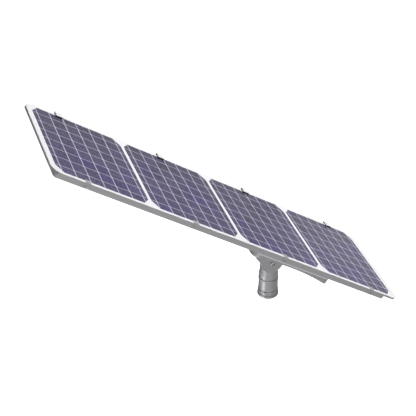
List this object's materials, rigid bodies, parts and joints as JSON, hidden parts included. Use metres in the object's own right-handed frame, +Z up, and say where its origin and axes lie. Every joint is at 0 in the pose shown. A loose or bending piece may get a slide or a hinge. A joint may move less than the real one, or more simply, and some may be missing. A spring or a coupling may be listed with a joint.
{
  "type": "solar street lamp",
  "caption": "Solar street lamp: long deck of solar modules on a shallow tray, with an arched battery and lamp pod below it on a tilting bracket and a spigot that slips over a pole.",
  "frame": {"origin": "middle of the open end of the pole socket, at the bottom of the spigot", "axes": "+Z up the pole; +X towards the low end of the deck; +Y across the deck, away from the side with the flat clips"},
  "size_m": [1.3297, 0.4676, 0.929],
  "materials": {
    "deck_plate": "white powder coat",
    "solar_module_1": "glass laminate",
    "solar_module_2": "glass laminate",
    "solar_module_3": "glass laminate",
    "solar_module_4": "glass laminate",
    "tray": "grey powder coat",
    "cross_ribs": "plain",
    "junction_boxes": "matte",
    "near_tabs": "satin",
    "far_clamps": "anodised",
    "clamp_pads": "matte",
    "side_screws": "satin",
    "pod_housing": "grey powder coat",
    "pod_gasket": "silicone",
    "pod_base": "grey powder coat",
    "pod_screws": "satin",
    "housing_bolts": "satin",
    "cell_tray": "matte",
    "cell_clamp": "matte",
    "battery_cells": "sleeved can",
    "controller_board": "solder mask",
    "board_posts": "plain",
    "controller_parts": "matte",
    "led_board": "white solder mask",
    "led_chips": "phosphor",
    "lens_seal": "silicone",
    "lens_plate": "clear",
    "lens_bezel": "grey powder coat",
    "bezel_screws": "satin",
    "switch_body": "satin",
    "switch_nut": "satin",
    "switch_button": "matte",
    "charge_light": "clear red",
    "vent_plug": "matte",
    "bracket": "grey powder coat",
    "bracket_bolts": "satin",
    "pivot_bolt": "satin",
    "pivot_nut": "satin",
    "pivot_washers": "satin",
    "friction_discs": "fibre",
    "spigot": "grey powder coat",
    "set_screws": "satin"
  },
  "bodies": {
    "spigot": {"spigot": "spigot", "set_screws": "set_screws"},
    "head": {"deck_plate": "deck_plate", "solar_module_1": "solar_module_1", "solar_module_2": "solar_module_2", "solar_module_3": "solar_module_3", "solar_module_4": "solar_module_4", "tray": "tray", "cross_ribs": "cross_ribs", "junction_boxes": "junction_boxes", "near_tabs": "near_tabs", "far_clamps": "far_clamps", "clamp_pads": "clamp_pads", "side_screws": "side_screws", "pod_housing": "pod_housing", "pod_gasket": "pod_gasket", "pod_base": "pod_base", "pod_screws": "pod_screws", "housing_bolts": "housing_bolts", "cell_tray": "cell_tray", "cell_clamp": "cell_clamp", "battery_cells": "battery_cells", "controller_board": "controller_board", "board_posts": "board_posts", "controller_parts": "controller_parts", "led_board": "led_board", "led_chips": "led_chips", "lens_seal": "lens_seal", "lens_plate": "lens_plate", "lens_bezel": "lens_bezel", "bezel_screws": "bezel_screws", "switch_body": "switch_body", "switch_nut": "switch_nut", "charge_light": "charge_light", "vent_plug": "vent_plug", "bracket": "bracket", "bracket_bolts": "bracket_bolts", "pivot_bolt": "pivot_bolt", "pivot_nut": "pivot_nut", "pivot_washers": "pivot_washers", "friction_discs": "friction_discs"},
    "button": {"switch_button": "switch_button"}
  },
  "joints": [
    {"name": "tilt", "type": "hinge", "parent": "spigot", "child": "head", "pos_m": [0, 0, 0.178], "axis": [0, 1, 0], "range_deg": [-34.6, 25.4]},
    {"name": "switch_press", "type": "slide", "parent": "head", "child": "button", "axis": [0.5678, 0, 0.8231], "range_m": [0, 0.002], "stiffness_N_per_m": 800, "springref_m": -0.0015}
  ]
}
